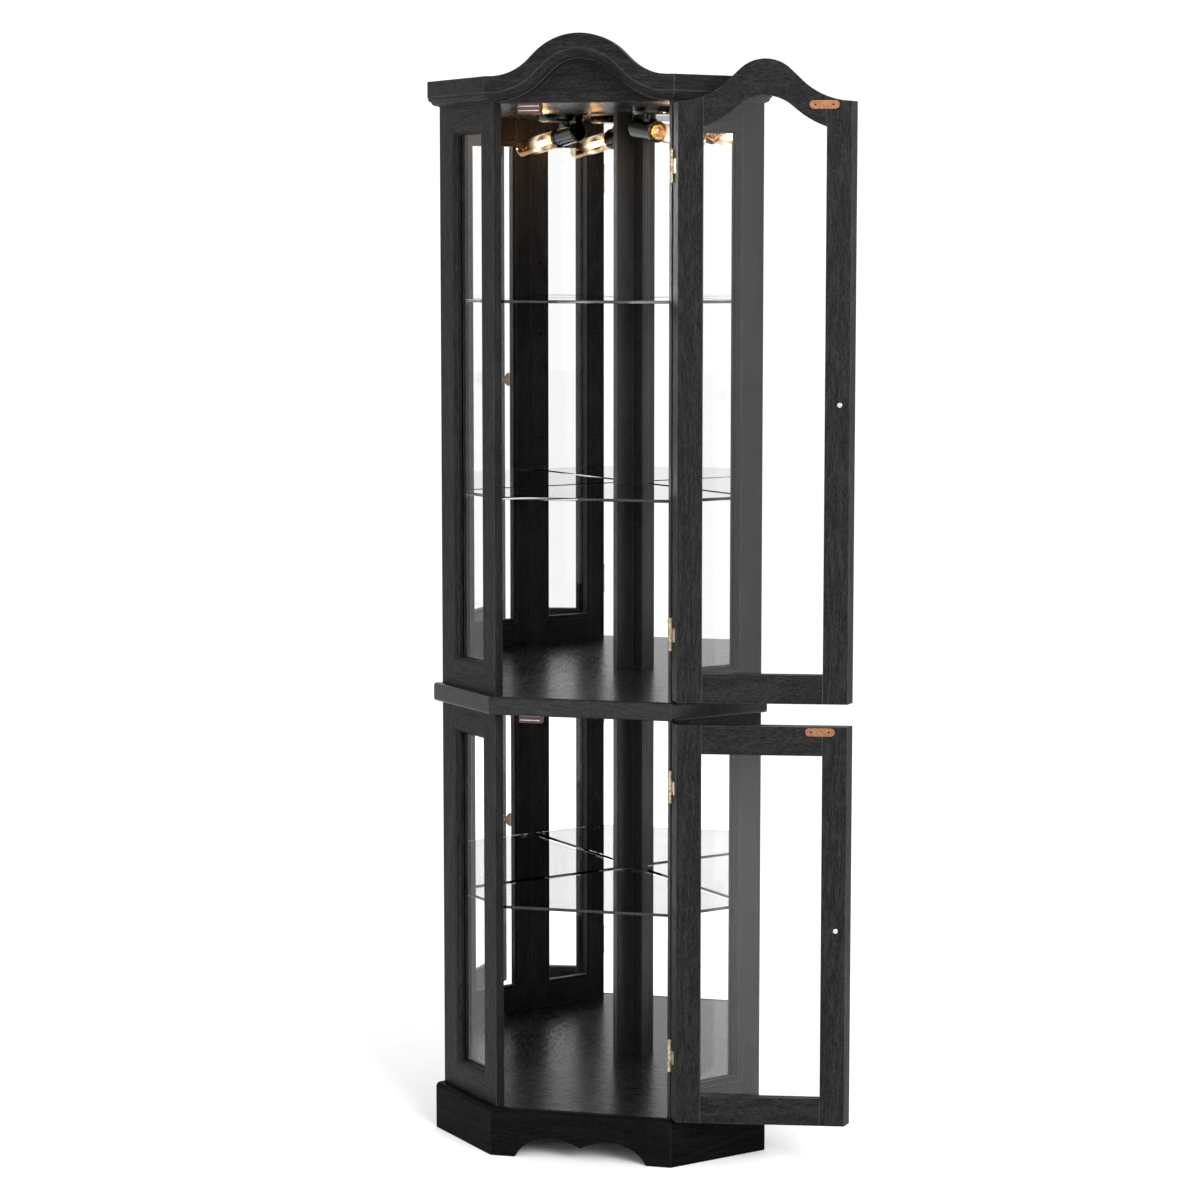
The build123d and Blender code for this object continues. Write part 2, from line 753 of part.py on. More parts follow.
with BuildPart() as bulb_cap:
    with BuildSketch(neck_plane):
        Circle(cap_radius)
    extrude(amount=-cap_length)
    for ring in range(thread_turns):
        with BuildSketch(lamp_plane(cap_ahead - 4 - ring * thread_pitch)):
            Circle(cap_radius + 1)
            Circle(cap_radius - thread_depth, mode=Mode.SUBTRACT)
        extrude(amount=-2 * thread_depth, mode=Mode.SUBTRACT)
    with BuildSketch(lamp_plane(cap_ahead - cap_length)):
        Circle(contact[0])
    extrude(amount=-contact[1])
save(bulb_cap, "bulb_cap")

# ---------------------------------------------------------------- doors


def opened(piece):
    """Swing a part that was made closed to where the doors stand open."""
    with BuildPart() as swung:
        add(piece.part.rotate(hinge_axis, rest_angle))
    return swung


def door_area(shape, arched):
    """The door's whole outline."""
    if arched:
        door_arch.area(0, shape["low"])
        Rectangle(2 * half_front, 3 * cornice_peak, mode=Mode.INTERSECT)
    else:
        with Locations((0, shape["low"])):
            Rectangle(2 * half_front, shape["high"] - shape["low"], align=(Align.CENTER, Align.MIN))


def opening_area(shape, arched, shift, mode):
    """The door's opening, grown all round by shift."""
    low = shape["opening_low"] - shift
    width = 2 * (door_half_opening + shift)
    with BuildSketch(mode=Mode.PRIVATE) as opening:
        if arched:
            opening_arch.area(shift, low)
            with Locations((0, low)):
                Rectangle(width, cornice_peak, align=(Align.CENTER, Align.MIN), mode=Mode.INTERSECT)
        else:
            with Locations((0, low)):
                height = shape["opening_high"] + shift - low
                Rectangle(width, height, align=(Align.CENTER, Align.MIN))
    add(opening.sketch, mode=mode)


def door_wood(shape, arched):
    """Both stiles and both rails in one closed solid, bevelled round the glass."""
    with BuildPart() as wood:
        with BuildSketch(front_plane(front_y)):
            door_area(shape, arched)
        extrude(amount=-door_thick)
        mitre_ends(edge_gap)
        with BuildSketch(front_plane(front_y)):
            opening_area(shape, arched, 0, Mode.ADD)
        extrude(amount=-door_thick, mode=Mode.SUBTRACT)
        face_edges = wood.faces().sort_by(Axis.Y)[0].inner_wires().edges()
        chamfer(face_edges, length=door_bevel)
        with BuildSketch(front_plane(front_y + door_glass_inset)):
            opening_area(shape, arched, door_groove, Mode.ADD)
        extrude(amount=-glass_thick, mode=Mode.SUBTRACT)
    return wood


def door_glass(shape, arched):
    """The pane, let into the groove."""
    with BuildPart() as pane:
        with BuildSketch(front_plane(front_y + door_glass_inset)):
            opening_area(shape, arched, door_groove - 1, Mode.ADD)
        extrude(amount=-glass_thick)
    return pane


def door_stiles(wood, name):
    """The uprights, cut from the whole frame, with a hole for the knob's screw."""
    with BuildPart() as stiles:
        add(wood.part)
        with BuildSketch(front_plane(front_y)):
            Rectangle(2 * door_half_opening, 3 * cornice_peak)
        extrude(amount=-door_thick, mode=Mode.SUBTRACT)
        with BuildSketch(front_plane(front_y)):
            with Locations((knob_x, knob_levels[name])):
                Circle(screw_radius + 0.2)
        extrude(amount=-door_thick, mode=Mode.SUBTRACT)
    return stiles


def door_rails(wood):
    """The two rails, cut from the whole frame."""
    with BuildPart() as rails:
        add(wood.part)
        with BuildSketch(front_plane(front_y)):
            Rectangle(2 * door_half_opening, 3 * cornice_peak)
        extrude(amount=-door_thick, mode=Mode.INTERSECT)
    return rails


knob_x = -half_front + knob_out
knob_base = 9.0
knob_neck = 5.0
knob_rim = 12.5
knob_length = 26.0
screw_radius = 2.0
screw_head = (4.0, 2.2)
screw_reach = 10.0  # into the knob


def knob(level):
    """A turned knob on the door's outer face, drilled for its screw."""
    with BuildPart() as turned:
        with BuildSketch(Plane.XY.offset(level)):
            with BuildLine():
                face = front_y
                neck_x = knob_x + knob_neck
                base_x = knob_x + knob_base
                tip = (knob_x, face - knob_length)
                Polyline((knob_x, face), (base_x, face), (base_x, face - 2), (neck_x, face - 5))
                Line((neck_x, face - 5), (neck_x, face - 12))
                rim = (knob_x + knob_rim, face - 18)
                Spline((neck_x, face - 12), rim, tip, tangents=[(1, -0.3), (-1, 0)])
                Line(tip, (knob_x, face))
            make_face()
        revolve(axis=Axis((knob_x, 0, level), (0, 1, 0)))
        with BuildSketch(front_plane(front_y)):
            with Locations((knob_x, level)):
                Circle(screw_radius)
        extrude(amount=screw_reach + 2, mode=Mode.SUBTRACT)
    return turned


def knob_screw(level):
    """The screw that holds a knob: its head shows on the door's inner face."""
    head_radius, head_height = screw_head
    with BuildPart() as screw:
        with BuildSketch(front_plane(door_inner_y)):
            with Locations((knob_x, level)):
                Circle(screw_radius)
        extrude(amount=door_thick + screw_reach)
        with BuildSketch(front_plane(door_inner_y)):
            with Locations((knob_x, level)):
                Circle(head_radius)
        extrude(amount=-head_height)
        fillet(screw.edges().sort_by(Axis.Y)[-1], radius=head_height / 2)
        with BuildSketch(front_plane(door_inner_y + head_height)):
            with Locations((knob_x, level)):
                Rectangle(1.1 * head_radius, 0.9)
                Rectangle(0.9, 1.1 * head_radius)
        extrude(amount=head_height / 2, mode=Mode.SUBTRACT)
    return screw


def strike_plate(level):
    """The plate that the magnet pulls on, with its two screw holes."""
    length, width, thick = strike_size
    with BuildPart() as plate:
        with BuildSketch(front_plane(door_inner_y)):
            with Locations((catch_x, level)):
                SlotOverall(length, width)
            with Locations((catch_x - strike_screw_out, level), (catch_x + strike_screw_out, level)):
                Circle(strike_screw_radius, mode=Mode.SUBTRACT)
        extrude(amount=-thick)
    return plate


def hinge_plane(level):
    """Level plane on the hinge's pin: x runs back between the mitred edges, y towards the door."""
    return Plane(origin=(hinge_x, hinge_y, level), x_dir=(-sin(turn), cos(turn), 0), z_dir=(0, 0, 1))


def hinge_leaf(middle, on_door):
    """One leaf with its knuckles: the door has the long middle knuckle, and the cabinet the outer two."""
    low = middle - hinge_height / 2
    high = middle + hinge_height / 2
    if on_door:
        leaf_low = low + end_knuckle + 0.1
        leaf_height = hinge_height - 2 * end_knuckle - 0.2
        spans = [(leaf_low, leaf_height)]
    else:
        leaf_low = low
        leaf_height = hinge_height
        spans = [(low, end_knuckle), (high - end_knuckle, end_knuckle)]
    side = 1 if on_door else -1
    y = side * (0.05 + leaf_thick / 2)
    start = knuckle_radius + 0.4
    bore = pin_radius + (pin_clearance if on_door else 0)
    with BuildPart() as leaf:
        with BuildSketch(hinge_plane(leaf_low)):
            with Locations((start, y)):
                Rectangle(leaf_width, leaf_thick, align=(Align.MIN, Align.CENTER))
        extrude(amount=leaf_height)
        across_leaf = hinge_plane(leaf_low).y_dir
        along_leaf = hinge_plane(leaf_low).x_dir
        thin_edges = leaf.edges().filter_by(Axis((0, 0, 0), across_leaf))
        fillet(thin_edges.sort_by(Axis((0, 0, 0), along_leaf))[-2:], radius=2.5)
        for span_low, height in spans:
            with BuildSketch(hinge_plane(span_low)):
                Circle(knuckle_radius)
                with Locations((0, y)):
                    Rectangle(start + 1, leaf_thick, align=(Align.MIN, Align.CENTER))
            extrude(amount=height)
        with BuildSketch(hinge_plane(low)):
            Circle(bore)
        extrude(amount=hinge_height, mode=Mode.SUBTRACT)
        with BuildSketch(Plane(origin=(hinge_x, hinge_y, middle), x_dir=along_leaf, z_dir=across_leaf)):
            for rise in (-1, 1):
                with Locations((start + leaf_width / 2, rise * leaf_screw_pitch / 2)):
                    Circle(leaf_screw_radius)
        extrude(amount=side * (leaf_thick + 1), mode=Mode.SUBTRACT)
    return leaf.part


def hinge_pin(middle):
    """The pin, with a turned cap at each end."""
    cap_radius, cap_height = pin_cap
    with BuildPart() as pin:
        with BuildSketch(hinge_plane(middle - hinge_height / 2)):
            Circle(pin_radius)
        extrude(amount=hinge_height)
        for way in (-1, 1):
            with BuildSketch(hinge_plane(middle + way * hinge_height / 2)):
                Circle(cap_radius)
            extrude(amount=way * cap_height)
            with BuildSketch(hinge_plane(middle + way * (hinge_height / 2 + 2))):
                Circle(cap_radius)
                Circle(cap_radius - 0.5, mode=Mode.SUBTRACT)
            extrude(amount=way, mode=Mode.SUBTRACT)
        fillet(pin.edges().group_by(Axis.Z)[0], radius=2)
        fillet(pin.edges().group_by(Axis.Z)[-1], radius=2)
    return pin.part


for name, shape, arched in (("upper", upper_door, True), ("lower", lower_door, False)):
    wood = door_wood(shape, arched)
    save(opened(door_stiles(wood, name)), name + "_door_stiles")
    save(opened(door_rails(wood)), name + "_door_rails")
    save(opened(door_glass(shape, arched)), name + "_door_glass")
    save(opened(knob(knob_levels[name])), name + "_knob")
    save(opened(knob_screw(knob_levels[name])), name + "_knob_screw")
    save(opened(strike_plate(strike_levels[name])), name + "_strike_plate")
    with BuildPart() as door_leaves:
        for level in hinge_levels[name]:
            add(hinge_leaf(level, on_door=True))
    save(opened(door_leaves), name + "_door_hinge_leaves")

all_hinges = hinge_levels["lower"] + hinge_levels["upper"]

with BuildPart() as frame_hinge_leaves:
    for level in all_hinges:
        add(hinge_leaf(level, on_door=False))
save(frame_hinge_leaves, "frame_hinge_leaves")

with BuildPart() as hinge_pins:
    for level in all_hinges:
        add(hinge_pin(level))
save(hinge_pins, "hinge_pins")

with BuildPart() as magnetic_catches:
    length, depth, height = catch_size
    for top in (ceiling, middle_low):
        with BuildSketch(Plane.XY.offset(top)):
            with Locations((catch_x, door_inner_y + strike_size[2] + 0.5)):
                Rectangle(length, depth, align=(Align.CENTER, Align.MIN))
        extrude(amount=-height)
    chamfer(magnetic_catches.edges().filter_by(Axis.X), length=1)
save(magnetic_catches, "magnetic_catches")
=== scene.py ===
from math import cos, pi, radians, sin, sqrt

import bmesh
import bpy
from mathutils import Matrix, Vector


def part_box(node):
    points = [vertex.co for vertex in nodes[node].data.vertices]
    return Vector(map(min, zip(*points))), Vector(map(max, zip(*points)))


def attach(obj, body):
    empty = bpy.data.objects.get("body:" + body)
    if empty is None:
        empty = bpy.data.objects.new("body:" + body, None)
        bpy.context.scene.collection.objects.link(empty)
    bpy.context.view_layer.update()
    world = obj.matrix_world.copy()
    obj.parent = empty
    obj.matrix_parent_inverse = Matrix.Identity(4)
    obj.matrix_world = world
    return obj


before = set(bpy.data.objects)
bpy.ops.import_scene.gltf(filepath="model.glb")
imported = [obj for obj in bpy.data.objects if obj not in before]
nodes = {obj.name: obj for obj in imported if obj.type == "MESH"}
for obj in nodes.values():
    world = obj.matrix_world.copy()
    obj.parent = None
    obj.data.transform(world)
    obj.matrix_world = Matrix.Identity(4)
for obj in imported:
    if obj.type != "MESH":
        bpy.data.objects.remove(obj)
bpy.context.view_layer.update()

DIAGONAL = sqrt(0.5)

# ---------------------------------------------------------------- camera and lights

camera = bpy.data.objects.new("camera", bpy.data.cameras.new("camera"))
bpy.context.scene.collection.objects.link(camera)
CAMERA_TILT = 0.1019
CAMERA_TURN = 0.2325
camera.location = (1.103, -4.9259, 1.4647)
camera.rotation_euler = (pi / 2 - CAMERA_TILT, 0, CAMERA_TURN)
camera.data.sensor_width = 36
camera.data.lens = 88.69
camera.data.shift_y = -0.04
bpy.context.scene.camera = camera

bpy.context.scene.view_settings.view_transform = "Standard"
world = bpy.data.worlds.new("studio")
bpy.context.scene.world = world
world.use_nodes = True
backdrop = world.node_tree.nodes["Background"]
backdrop.inputs["Color"].default_value = (1, 1, 1, 1)
backdrop.inputs["Strength"].default_value = 1.12


def softbox(name, place, aim, size, power):
    """A square soft light that faces the point aim."""
    lamp = bpy.data.lights.new(name, "AREA")
    lamp.shape = "SQUARE"
    lamp.size = size
    lamp.energy = power
    holder = bpy.data.objects.new(name, lamp)
    holder.location = place
    holder.rotation_euler = (Vector(aim) - Vector(place)).to_track_quat("-Z", "Y").to_euler()
    bpy.context.scene.collection.objects.link(holder)


softbox("key_light", (2.5, -3.1, 2.3), (0, -0.2, 0.9), 1.8, 150)
softbox("fill_light", (-1.2, -4.2, 1.2), (0, -0.2, 0.6), 2.2, 10)


# ---------------------------------------------------------------- material tools


class Shader:
    """A Principled material with short calls for its nodes."""

    def __init__(self, name, **inputs):
        self.material = bpy.data.materials.new(name)
        self.material.use_nodes = True
        self.tree = self.material.node_tree
        self.bsdf = self.tree.nodes["Principled BSDF"]
        self.output = self.tree.nodes["Material Output"]
        for socket, value in inputs.items():
            self.bsdf.inputs[socket.replace("_", " ")].default_value = value
        self.place = None

    def node(self, kind, **settings):
        made = self.tree.nodes.new("ShaderNode" + kind)
        for key, value in settings.items():
            setattr(made, key, value)
        return made

    def plug(self, value, socket):
        if isinstance(value, bpy.types.NodeSocket):
            self.tree.links.new(value, socket)
        else:
            socket.default_value = value

    def math(self, operation, *values):
        made = self.node("Math", operation=operation)
        for value, socket in zip(values, made.inputs):
            self.plug(value, socket)
        return made.outputs[0]

    def object_place(self):
        if self.place is None:
            self.place = self.node("TexCoord").outputs["Object"]
        return self.place

    def axes(self):
        made = self.node("SeparateXYZ")
        self.plug(self.object_place(), made.inputs[0])
        return made.outputs

    def vector(self, x, y, z):
        made = self.node("CombineXYZ")
        for value, socket in zip((x, y, z), made.inputs):
            self.plug(value, socket)
        return made.outputs[0]

    def scaled(self, vector, scale):
        made = self.node("VectorMath", operation="MULTIPLY")
        self.plug(vector, made.inputs[0])
        made.inputs[1].default_value = scale
        return made.outputs[0]

    def noise(self, vector, scale, detail=3.0, roughness=0.5, distortion=0.0):
        made = self.node("TexNoise")
        self.plug(vector, made.inputs["Vector"])
        made.inputs["Scale"].default_value = scale
        made.inputs["Detail"].default_value = detail
        made.inputs["Roughness"].default_value = roughness
        made.inputs["Distortion"].default_value = distortion
        return made.outputs["Fac"]

    def ramp(self, value, *stops):
        """Map a value through (position, level) stops."""
        made = self.node("ValToRGB")
        elements = made.color_ramp.elements
        while len(elements) < len(stops):
            elements.new(0.5)
        for element, (position, level) in zip(elements, stops):
            element.position = position
            colour = level if isinstance(level, tuple) else (level,) * 3
            element.color = (*colour, 1)
        self.plug(value, made.inputs[0])
        return made.outputs[0]

    def span(self, value, low, high):
        """Stretch a 0..1 value to low..high."""
        made = self.node("MapRange")
        self.plug(value, made.inputs["Value"])
        made.inputs["To Min"].default_value = low
        made.inputs["To Max"].default_value = high
        return made.outputs["Result"]

    def bump(self, height, distance, strength=1.0, after=None):
        made = self.node("Bump")
        self.plug(height, made.inputs["Height"])
        made.inputs["Distance"].default_value = distance
        made.inputs["Strength"].default_value = strength
        if after is not None:
            self.plug(after, made.inputs["Normal"])
        return made.outputs["Normal"]

    def edges(self, radius):
        """The normal softened round the edges, and a mask that is 1 along them."""
        soft = self.node("Bevel", samples=4)
        soft.inputs["Radius"].default_value = radius
        turned_by = self.node("VectorMath", operation="DOT_PRODUCT")
        self.plug(soft.outputs[0], turned_by.inputs[0])
        self.plug(self.node("NewGeometry").outputs["Normal"], turned_by.inputs[1])
        mask = self.ramp(turned_by.outputs["Value"], (0.80, 1.0), (0.985, 0.0))
        return soft.outputs[0], mask

    def blend(self, factor, under, over):
        """Lay a plain colour over another by a factor."""
        made = self.node("Mix", data_type="RGBA")
        self.plug(factor, made.inputs["Factor"])
        self.plug(under, made.inputs[6])
        made.inputs[7].default_value = (*over, 1)
        return made.outputs[2]

    def see_through(self, tint, surface, share):
        """Show what lies behind, tinted, with a share of the surface's own shader over it."""
        clear = self.node("BsdfTransparent")
        clear.inputs["Color"].default_value = (*tint, 1)
        mixed = self.node("MixShader")
        self.plug(share, mixed.inputs[0])
        self.tree.links.new(clear.outputs[0], mixed.inputs[1])
        self.tree.links.new(surface.outputs[0], mixed.inputs[2])
        self.tree.links.new(mixed.outputs[0], self.output.inputs["Surface"])

    def set(self, socket, value):
        self.plug(value, self.bsdf.inputs[socket])


def grain_place(shader, grain):
    """The object's place turned so that z runs along the grain."""
    x, y, z = shader.axes()
    if grain == "up":
        return shader.object_place()
    if grain == "across":
        return shader.vector(z, y, x)
    out = shader.math("ABSOLUTE", x)
    forward = shader.math("MULTIPLY", shader.math("ADD", out, y), -DIAGONAL)
    sideways = shader.math("MULTIPLY", shader.math("SUBTRACT", out, y), DIAGONAL)
    if grain == "side":
        return shader.vector(z, sideways, forward)
    return shader.vector(z, forward, sideways)


# Noise cells to a metre, across the grain twice and then along it.
FIGURE_SCALE = (13, 13, 1.6)
FLECK_SCALE = (640, 640, 170)
FIBRE_SCALE = (700, 700, 30)
PORE_SCALE = (900, 900, 70)
EDGE_ROUND = 0.0015
RING_PHASE = 70.0  # radians over the whole range of the figure's noise
FIBRE_SHARE = 0.43
FLECK_SHARE = 0.42
RING_SHARE = 0.15
PORE_SHARE = 0.6
PORE_LEVEL = 0.3  # of the dark stain
# The edges' colour, lighter than the light stain: partly wear, partly a painted highlight where the rounded
# edges catch the light.
RUBBED_AND_LIT_LEVEL = 4.5  # of the light stain


def oak(name, grain, dark, light, roughness, gloss, depth=0.00022, variety=1.0):
    """Black-stained oak: slow figure, flecks, fibres and open pores along the grain, edges lightened partly
    as wear and partly as a painted highlight.
    """
    shader = Shader(name, Specular_IOR_Level=gloss)
    place = grain_place(shader, grain)
    figure = shader.noise(shader.scaled(place, FIGURE_SCALE), 1.0, 3.0, 0.55, 0.9)
    rings = shader.math("SINE", shader.math("MULTIPLY", figure, RING_PHASE))
    rings = shader.span(rings, 0.3, 0.7)
    flecks = shader.noise(shader.scaled(place, FLECK_SCALE), 1.0, 2.0, 0.5)
    fibres = shader.noise(shader.scaled(place, FIBRE_SCALE), 1.0, 4.0, 0.6)
    pores = shader.noise(shader.scaled(place, PORE_SCALE), 1.0, 2.0, 0.5)
    open_pores = shader.ramp(pores, (0.54, 0.0), (0.64, 1.0))
    fine = shader.math("ADD", shader.math("MULTIPLY", fibres, FIBRE_SHARE),
                       shader.math("MULTIPLY", flecks, FLECK_SHARE))
    tone = shader.math("MULTIPLY_ADD", rings, RING_SHARE, fine)
    colour = shader.ramp(tone, (0.40, dark), (0.60, light))
    pore_colour = [PORE_LEVEL * level for level in dark]
    shade = shader.blend(shader.math("MULTIPLY", open_pores, PORE_SHARE), colour, pore_colour)
    rounded, edges = shader.edges(EDGE_ROUND)
    # Lighter colour along the edges: wear mottled by the fibres, and a painted highlight of the edges
    # catching the light.
    rubbed_and_lit = shader.math("MULTIPLY", edges, shader.ramp(fibres, (0.35, 0.35), (0.6, 1.0)))
    shader.set("Base Color", shader.blend(rubbed_and_lit, shade, [RUBBED_AND_LIT_LEVEL * level for level in light]))
    rough = shader.math("ADD", shader.span(tone, roughness + 0.14 * variety, roughness - 0.12 * variety),
                        shader.math("MULTIPLY", open_pores, 0.12 * variety))
    shader.set("Roughness", rough)
    relief = shader.math("SUBTRACT", shader.math("MULTIPLY", tone, 0.8), open_pores)
    shader.set("Normal", shader.bump(relief, depth, 0.6, rounded))
    return shader.material


BLACK = (0.0035, 0.0033, 0.0033)
CHARCOAL = (0.020, 0.0190, 0.0187)
oak_up = oak("oak_up", "up", BLACK, CHARCOAL, 0.42, 0.09)
oak_across = oak("oak_across", "across", BLACK, CHARCOAL, 0.42, 0.09)
oak_side = oak("oak_side", "side", BLACK, CHARCOAL, 0.42, 0.09)
oak_wall = oak("oak_wall", "wall", BLACK, CHARCOAL, 0.5, 0.20)
oak_panel = oak("oak_panel", "across", BLACK, CHARCOAL, 0.26, 0.24, 0.00001, 0.3)
oak_post = oak("oak_post", "up", BLACK, CHARCOAL, 0.30, 0.45, 0.00010, 0.6)
# Darker copies of BLACK and CHARCOAL for the plinth: painted shade at the cabinet's foot.
SHADED_BLACK = (0.0012, 0.0011, 0.0011)
SHADED_CHARCOAL = (0.0060, 0.0057, 0.0056)
plinth_across = oak("plinth_across", "across", SHADED_BLACK, SHADED_CHARCOAL, 0.42, 0.04)
plinth_side = oak("plinth_side", "side", SHADED_BLACK, SHADED_CHARCOAL, 0.42, 0.02)


def metal(name, colour, worn, roughness, scale=300.0):
    """Metal with a mottled patina and fine scuffs."""
    shader = Shader(name, Metallic=1.0)
    patina = shader.noise(shader.object_place(), scale, 4.0, 0.6)
    shader.set("Base Color", shader.ramp(patina, (0.35, worn), (0.6, colour)))
    shader.set("Roughness", shader.span(patina, roughness + 0.12, roughness - 0.08))
    scuffs = shader.noise(shader.object_place(), 2400.0, 2.0)
    shader.set("Normal", shader.bump(scuffs, 0.00004, 0.4))
    return shader.material


antique_brass = metal("antique_brass", (0.50, 0.42, 0.30), (0.22, 0.17, 0.115), 0.26, 240.0)
bright_brass = metal("bright_brass", (0.86, 0.62, 0.30), (0.62, 0.42, 0.18), 0.24)
knob_brass = metal("knob_brass", (0.30, 0.22, 0.14), (0.17, 0.12, 0.08), 0.27, 120.0)
blackened = metal("blackened", (0.020, 0.015, 0.013), (0.010, 0.008, 0.007), 0.5)
pin_brass = metal("pin_brass", (0.42, 0.29, 0.14), (0.20, 0.125, 0.065), 0.30)
nickel = metal("nickel", (0.68, 0.66, 0.63), (0.45, 0.43, 0.41), 0.28)
copper = metal("copper", (0.33, 0.165, 0.088), (0.19, 0.09, 0.05), 0.34)
steel = metal("steel", (0.80, 0.78, 0.75), (0.55, 0.53, 0.51), 0.3)


def moulded(name, colour, roughness, gloss=0.5):
    """Moulded plastic: a faint cloudiness and a very fine texture."""
    shader = Shader(name, Specular_IOR_Level=gloss)
    cloud = shader.noise(shader.object_place(), 140.0, 3.0)
    darker = tuple(0.75 * level for level in colour)
    shader.set("Base Color", shader.ramp(cloud, (0.35, darker), (0.65, colour)))
    shader.set("Roughness", shader.span(cloud, roughness - 0.05, roughness + 0.05))
    stipple = shader.noise(shader.object_place(), 3000.0, 1.0)
    shader.set("Normal", shader.bump(stipple, 0.00003, 0.3))
    return shader.material


black_plastic = moulded("black_plastic", (0.006, 0.006, 0.006), 0.16)
brown_plastic = moulded("brown_plastic", (0.07, 0.024, 0.019), 0.35)
rubber = moulded("rubber", (0.02, 0.02, 0.02), 0.6, 0.3)


def hardboard():
    """Painted hardboard with pressed chips showing."""
    shader = Shader("hardboard", Specular_IOR_Level=0.25)
    chips = shader.noise(shader.object_place(), 420.0, 5.0, 0.7)
    shader.set("Base Color", shader.ramp(chips, (0.35, (0.010, 0.009, 0.009)), (0.7, (0.030, 0.028, 0.027))))
    shader.set("Roughness", shader.span(chips, 0.6, 0.85))
    shader.set("Normal", shader.bump(chips, 0.0002, 0.5))
    return shader.material


def silvered():
    """Silvered glass with a very slight haze."""
    shader = Shader("mirror", Metallic=1.0, Base_Color=(0.982, 0.983, 0.982, 1))
    haze = shader.noise(shader.object_place(), 9.0, 4.0, 0.6)
    shader.set("Roughness", shader.span(haze, 0.0, 0.012))
    return shader.material


def clear_pane():
    """Clear flat glass: what is behind it shows straight through, under a faint reflection."""
    shader = Shader("clear_glass")
    gloss = shader.node("BsdfGlossy")
    smudge = shader.noise(shader.object_place(), 14.0, 4.0, 0.65)
    shader.plug(shader.span(smudge, 0.0, 0.03), gloss.inputs["Roughness"])
    slant = shader.node("LayerWeight").outputs["Facing"]
    share = shader.math("MULTIPLY_ADD", shader.math("POWER", slant, 5.0), 0.9, 0.03)
    shader.see_through((0.996, 0.997, 0.9965), gloss, share)
    shader.tree.nodes.remove(shader.bsdf)
    return shader.material


def shelf_glass():
    """Thick polished glass, smudged and slightly grey."""
    shader = Shader("shelf_glass", Transmission_Weight=1.0, IOR=1.5)
    smudge = shader.noise(shader.object_place(), 14.0, 4.0, 0.65)
    shader.set("Roughness", shader.span(smudge, 0.0, 0.02))
    streak = shader.noise(shader.object_place(), 5.0, 2.0)
    shader.set("Base Color", shader.ramp(streak, (0.3, (0.50, 0.507, 0.505)), (0.7, (0.56, 0.567, 0.565))))
    return shader.material


backing = hardboard()
mirror = silvered()
clear_glass = clear_pane()
shelf = shelf_glass()

# ---------------------------------------------------------------- the lamp's place

LAMP_OUT = 0.066  # from the right-hand wall to the lamp's axis
MOUTH_ALONG = 0.168  # from the corner along that wall to the socket's mouth
MOUTH_LEVEL = 1.656
LAMP_DROOP = radians(7.4)
GLASS_START = 0.002  # from the mouth to the bulb's neck
HOT_MIDDLE = 0.056  # from the neck to the filament's middle
GLOW_REACH = 0.030
LAMP_WAY = Vector((DIAGONAL * cos(LAMP_DROOP), -DIAGONAL * cos(LAMP_DROOP), -sin(LAMP_DROOP)))
MOUTH = Vector((DIAGONAL * (MOUTH_ALONG - LAMP_OUT), -DIAGONAL * (MOUTH_ALONG + LAMP_OUT), MOUTH_LEVEL))


def on_lamp(ahead, radius=0.0, turn=0.0):
    """A point round the lamp's axis: ahead of the bulb's neck, then out from the axis."""
    across = Vector((DIAGONAL, DIAGONAL, 0))
    up = LAMP_WAY.cross(across)
    return MOUTH + (GLASS_START + ahead) * LAMP_WAY + radius * (cos(turn) * across + sin(turn) * up)


def lit_glass():
    """The bulb's thin clear glass, faintly washed out round the filament."""
    shader = Shader("lamp_glass", Metallic=1.0, Roughness=0.03)
    x, y, z = shader.axes()
    along = shader.math("MULTIPLY", shader.math("SUBTRACT", x, y), DIAGONAL)
    off = shader.math("SUBTRACT", along, MOUTH_ALONG + GLASS_START + HOT_MIDDLE * cos(LAMP_DROOP))
    near = shader.math("DIVIDE", shader.math("ABSOLUTE", off), GLOW_REACH)
    glow = shader.ramp(near, (0.0, 1.0), (0.4, 0.5), (0.75, 0.06), (1.0, 0.0))
    shader.set("Emission Strength", shader.math("MULTIPLY", glow, 1.1))
    shader.set("Emission Color", shader.ramp(glow, (0.0, (1.0, 0.60, 0.28)), (0.6, (1.0, 0.86, 0.62))))
    shader.set("Base Color", shader.ramp(glow, (0.0, (0.80, 0.52, 0.26)), (1.0, (1.0, 0.80, 0.52))))
    slant = shader.node("LayerWeight").outputs["Facing"]
    share = shader.math("MULTIPLY_ADD", shader.math("POWER", slant, 3.0), 0.6, 0.04)
    share = shader.math("MAXIMUM", share, shader.math("MULTIPLY", glow, 0.5))
    shader.see_through((0.97, 0.94, 0.89), shader.bsdf, share)
    return shader.material


def glowing():
    """The lit filament."""
    shader = Shader("filament_glow", Base_Color=(0.9, 0.6, 0.3, 1))
    heat = shader.noise(shader.object_place(), 500.0, 2.0)
    shader.set("Emission Color", shader.ramp(heat, (0.3, (1.0, 0.62, 0.30)), (0.7, (1.0, 0.76, 0.46))))
    shader.set("Emission Strength", shader.span(heat, 14.0, 20.0))
    return shader.material


def clear_glass_rod():
    """The drawn glass that carries the filament."""
    shader = Shader("bulb_mount_glass", Transmission_Weight=1.0, IOR=1.48)
    cords = shader.noise(shader.object_place(), 260.0, 2.0)
    shader.set("Roughness", shader.span(cords, 0.02, 0.12))
    shader.set("Base Color", shader.ramp(cords, (0.3, (0.90, 0.84, 0.76)), (0.7, (1.0, 0.96, 0.90))))
    return shader.material


